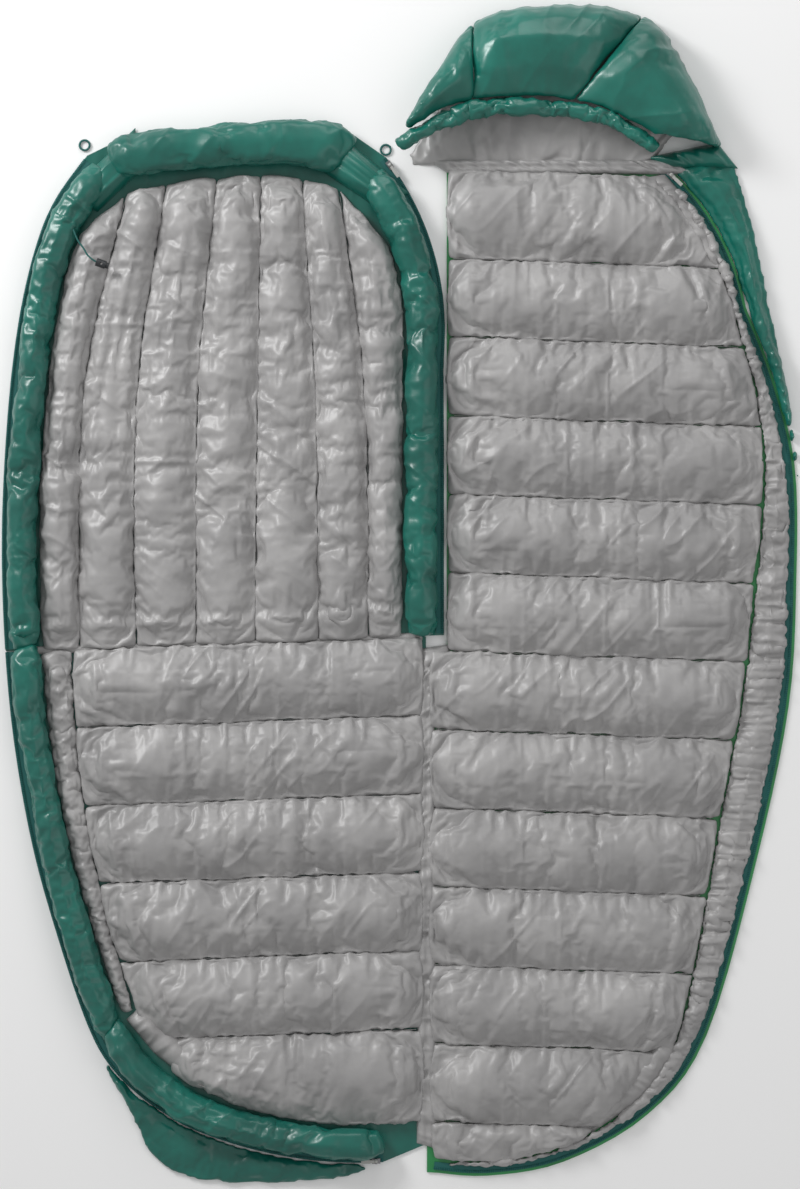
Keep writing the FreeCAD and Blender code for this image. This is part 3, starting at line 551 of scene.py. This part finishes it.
def makeWebs():
    base = webLook["base"]
    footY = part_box("back_chamber_13")[0].y
    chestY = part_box("chest_shell")[0].y
    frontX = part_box("front_chamber_03")[1].x
    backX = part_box("back_chamber_10")[0].x
    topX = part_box("back_chamber_02")[0].x
    side = makeWeb("sideSeamGathers", [(frontX - 0.010, footY + 0.03), (frontX - 0.006, chestY + 0.004)],
                   [(backX + 0.012, footY + 0.02), (backX + 0.008, chestY - 0.03), (topX + 0.004, chestY - 0.008),
                    (topX + 0.004, chestY + 0.012)], base, webLook["seamRise"], linerUpright,
                   301, across=16, deep=0.0032, dip=0.35, outside=shellUpright)
    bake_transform(side)
    low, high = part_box("back_chamber_01")
    hoodLow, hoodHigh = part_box("hood_liner")
    neck = makeWeb("neckSeamGathers", [(low.x + 0.004, high.y - 0.008), (high.x - 0.03, high.y - 0.008)],
                   [(hoodLow.x + 0.03, hoodLow.y + 0.010), (hoodHigh.x - 0.02, hoodLow.y + 0.010)], base,
                   webLook["seamRise"], linerAcross, 311, deep=0.003, dip=0.4, outside=shellAcross)
    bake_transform(neck)
    seamAxis, seamPoint = joints["chest_flap"]["axis"], joints["chest_flap"]["pos_m"]
    slope = seamAxis[1] / seamAxis[0]
    leftX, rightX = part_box("left_draft_tube_upper")[0].x + 0.02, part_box("front_shell")[1].x - 0.006
    ends = [(leftX, seamPoint[1] + slope * (leftX - seamPoint[0])),
            (rightX, seamPoint[1] + slope * (rightX - seamPoint[0]))]
    chest = makeWeb("chestSeamGathers", [(x, y - 0.007) for x, y in ends], [(x, y + 0.007) for x, y in ends],
                    base, 0.004, linerAcross, 331, deep=0.0015, outside=shellAcross)
    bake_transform(chest)
    flapLow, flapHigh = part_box("hood_side_flap")
    rightLow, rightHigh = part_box("hood_panel_right")
    shoulder = makeWeb("shoulderSeamGathers",
                       [(flapLow.x + 0.012, flapHigh.y - 0.012), (flapHigh.x - 0.03 - 0.075, flapHigh.y - 0.012)],
                       [(flapLow.x - 0.03, hoodLow.y + 0.014), (rightHigh.x - 0.006, rightLow.y + 0.010)], base, 0.020,
                       hoodCloth, 321, deep=0.004)
    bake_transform(shoulder)


cornerLook = {  # first line, second line, rise, body, material
    "collarCornerLeft": ([(-0.462, 0.815), (-0.455, 0.738)], [(-0.592, 0.690), (-0.528, 0.668)], 0.034, "chest_panel",
                         "shell"),
    "collarCornerRight": ([(-0.118, 0.815), (-0.135, 0.738)], [(0.018, 0.700), (-0.030, 0.668)], 0.034, "chest_panel",
                          "shell"),
    "footCornerGathers": ([(-0.478, -0.742), (-0.430, -0.800), (-0.360, -0.855), (-0.290, -0.885)],
                          [(-0.455, -0.720), (-0.405, -0.755), (-0.370, -0.790), (-0.345, -0.850), (-0.270, -0.870)],
                          0.018, "front_lower", "liner"),
    "shoulderFacing": ([(0.430, 0.728), (0.470, 0.680), (0.512, 0.620), (0.540, 0.570)],
                       [(0.462, 0.735), (0.500, 0.690), (0.540, 0.628), (0.565, 0.570)], 0.014, "back_panel", "liner"),
    "footFacing": ([(0.290, -0.905), (0.360, -0.875), (0.420, -0.820), (0.462, -0.765)],
                   [(0.335, -0.940), (0.400, -0.897), (0.455, -0.842), (0.487, -0.785)], 0.014, "back_panel", "liner"),
}


def makeCorners():
    for index, (name, (first, second, rise, body, kind)) in enumerate(cornerLook.items()):
        cloth = shellAcross if kind == "shell" else linerPlain
        piece = makeWeb(name, first, second, webLook["base"], rise, cloth, 401 + 7 * index,
                        across=26, deep=0.0032)
        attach(piece, body)


makeWebs()
makeCorners()
print("gathered cloth between the parts made")


zipLook = {"toothPitch": 0.0032, "coilRadius": 0.00165, "threadRadius": 0.00062, "toothStretch": (1.0, 1.15, 0.78),
           "coilDrop": 0.0015, "tapeThickness": 0.00125}


def coilLines(node, centre, splitX=None):
    # the middle line of each coil, read from the top of the node's coil solid
    points = getPoints(nodes[node].data)
    top = points[:, 2].max()
    flat = sorted({(round(x, 5), round(y, 5)) for x, y, z in points if z > top - 0.0002})
    lines = []
    for side in ((lambda x: True),) if splitX is None else ((lambda x: x < splitX), (lambda x: x >= splitX)):
        own = [place for place in flat if side(place[0])]
        own.sort(key=lambda place: math.atan2(place[1] - centre[1], place[0] - centre[0]) % (2 * math.pi))
        gaps = [(math.dist(own[i - 1], own[i]), i) for i in range(len(own))]
        start = max(gaps)[1]
        own = own[start:] + own[:start]
        line = [((a[0] + b[0]) / 2, (a[1] + b[1]) / 2) for a, b in zip(own[::2], own[1::2])]
        lines.append(line)
    return lines, top


def evenPlaces(line, pitch):
    places, carry = [], 0.0
    for a, b in zip(line, line[1:]):
        run = math.dist(a, b)
        at = carry
        while at < run:
            t = at / run
            places.append(((a[0] + (b[0] - a[0]) * t, a[1] + (b[1] - a[1]) * t), math.atan2(b[1] - a[1], b[0] - a[0])))
            at += pitch
        carry = at - run
    return places


def toothMesh():
    # one turn of the coil, modelled once and copied along the tape
    bpy.ops.object.select_all(action="DESELECT")
    bpy.ops.mesh.primitive_torus_add(major_segments=8, minor_segments=4, major_radius=zipLook["coilRadius"],
                                     minor_radius=zipLook["threadRadius"],
                                     rotation=(0, math.pi / 2, 0))
    tooth = bpy.context.object
    bpy.ops.object.transform_apply(location=False, rotation=True, scale=False)
    points = getPoints(tooth.data) * np.array(zipLook["toothStretch"])
    faces = [tuple(face.vertices) for face in tooth.data.polygons]
    bpy.data.objects.remove(tooth)
    return points, faces


def makeZip(node, name, centre, body, splitX=None):
    lines, top = coilLines(node, centre, splitX)
    tooth, toothFaces = toothMesh()
    verts, faces = [], []
    for line in lines:
        for (x, y), angle in evenPlaces(line, zipLook["toothPitch"]):
            turn = np.array([[math.cos(angle), -math.sin(angle), 0], [math.sin(angle), math.cos(angle), 0], [0, 0, 1]])
            faces += [tuple(index + len(verts) for index in face) for face in toothFaces]
            verts += [tuple(place) for place in tooth @ turn.T + np.array([x, y, top - zipLook["coilDrop"]])]
    coil = meshPiece(f"{name}Coil", verts, faces)
    coil.data.materials.append(zipCoil)
    smoothShade(coil)
    tape = nodeCopy(node, f"{name}Tape")
    tapeTop = getPoints(tape.data)[:, 2].min() + zipLook["tapeThickness"]
    mesh = bmesh.new()
    mesh.from_mesh(tape.data)
    bmesh.ops.delete(mesh, geom=[vert for vert in mesh.verts if vert.co.z > tapeTop], context="VERTS")
    mesh.to_mesh(tape.data)
    mesh.free()
    tape.data.materials.append(zipTape)
    finishPiece(coil, body, "zip_nylon", node)
    finishPiece(tape, body, "zip_nylon", node)


makeZip("main_zip_chain", "mainZip", (0.20, -0.10), "back_panel")
makeZip("front_zip_chain", "frontZip", (-0.15, -0.45), "front_lower")
makeZip("chest_zip_chains", "chestZip", (-0.3, 0.3), "chest_panel", -0.35)
print("zips made")


# the nodes whose shape is right take a finished material

def dress(node, material):
    mesh = nodes[node].data
    mesh.materials.clear()
    mesh.materials.append(material)


loopLook = {"threadRadius": 0.0018}


def makeLoops():
    points = getPoints(nodes["hang_loops"].data)
    for name, own in (("hangLoopLeft", points[points[:, 0] < -0.3]), ("hangLoopRight", points[points[:, 0] > -0.3])):
        middle = (own.min(axis=0) + own.max(axis=0)) / 2
        outer = (own[:, 0].max() - own[:, 0].min()) / 2
        bpy.ops.object.select_all(action="DESELECT")
        thread = loopLook["threadRadius"]
        bpy.ops.mesh.primitive_torus_add(major_segments=48, minor_segments=12, major_radius=outer - thread,
                                         minor_radius=thread, location=tuple(middle))
        loop = bpy.context.object
        loop.name = loop.data.name = name
        bpy.ops.object.transform_apply(location=True, rotation=True, scale=True)
        loop.data.materials.append(threadCloth)
        smoothShade(loop)
        finishPiece(loop, "chest_panel", "cord_fabric", "hang_loops")


makeLoops()
for node in nodes:
    if node.endswith("_slider"):
        dress(node, sliderMetal)
    elif node.endswith("_pull"):
        dress(node, palePlastic)
    elif node.endswith("_shell"):
        dress(node, underCloth if node == "back_shell" else shellAcross)
    elif node.endswith("baffle_walls"):
        dress(node, linerPlain)
    elif node == "cord_lock_spring":
        dress(node, springMetal)
    elif node.startswith("cord_lock"):
        dress(node, darkPlastic)
print("loops, sliders and shells dressed")


studioLook = {"floor": (0.9, 0.9, 0.9), "sky": 0.5}


def makeStudio():
    bpy.ops.mesh.primitive_plane_add(size=14.0, location=(0, 0, -0.0006))
    floor = bpy.context.object
    floor.name = "studioFloor"
    floor.data.materials.append(newMaterial("studioPaper", studioLook["floor"], 0.9))
    for name, place, size, power in (("keyLight", (-2.6, 2.3, 1.9), 1.0, 92), ("fillLight", (2.4, -0.6, 3.0), 2.6, 14),
                                     ("rimLight", (0.4, 3.0, 1.6), 1.6, 20)):
        data = bpy.data.lights.new(name, "AREA")
        data.energy = power
        data.size = size
        light = link(bpy.data.objects.new(name, data))
        light.location = place
        light.rotation_euler = (-Vector(place)).to_track_quat("-Z", "Y").to_euler()
    world = bpy.data.worlds.new("studioSky")
    world.use_nodes = True
    world.node_tree.nodes["Background"].inputs["Color"].default_value = (1, 1, 1, 1)
    world.node_tree.nodes["Background"].inputs["Strength"].default_value = studioLook["sky"]
    bpy.context.scene.world = world
    bpy.context.scene.view_settings.view_transform = "Standard"


makeStudio()
print("studio lit")
